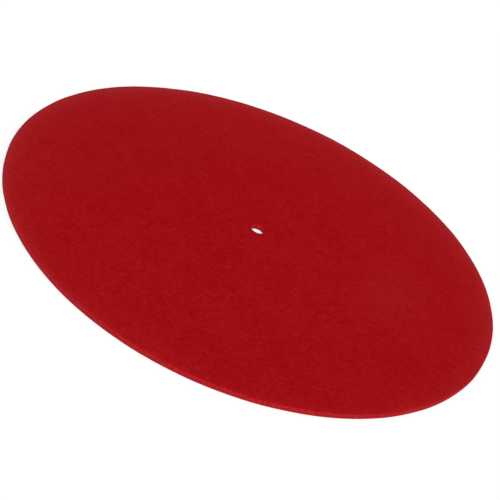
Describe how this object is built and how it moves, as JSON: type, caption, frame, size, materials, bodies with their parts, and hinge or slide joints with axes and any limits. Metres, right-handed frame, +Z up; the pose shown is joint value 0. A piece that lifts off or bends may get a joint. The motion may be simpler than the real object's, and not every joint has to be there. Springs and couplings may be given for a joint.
{
  "type": "turntable platter mat",
  "caption": "Round, flat felt mat with a central spindle hole, laid on a turntable platter to carry and cushion a record.",
  "frame": {"origin": "centre of the underside, on the spindle's axis, where the mat rests on the platter", "axes": "+Z up along the spindle's axis, out of the face that carries the record; X and Y lie in the underside"},
  "size_m": [0.295, 0.295, 0.003],
  "materials": {
    "felt": "thick deep red pressed felt, matt, fibrous, with a cut edge"
  },
  "bodies": {
    "root": {"felt_mat": "felt"}
  },
  "joints": []
}
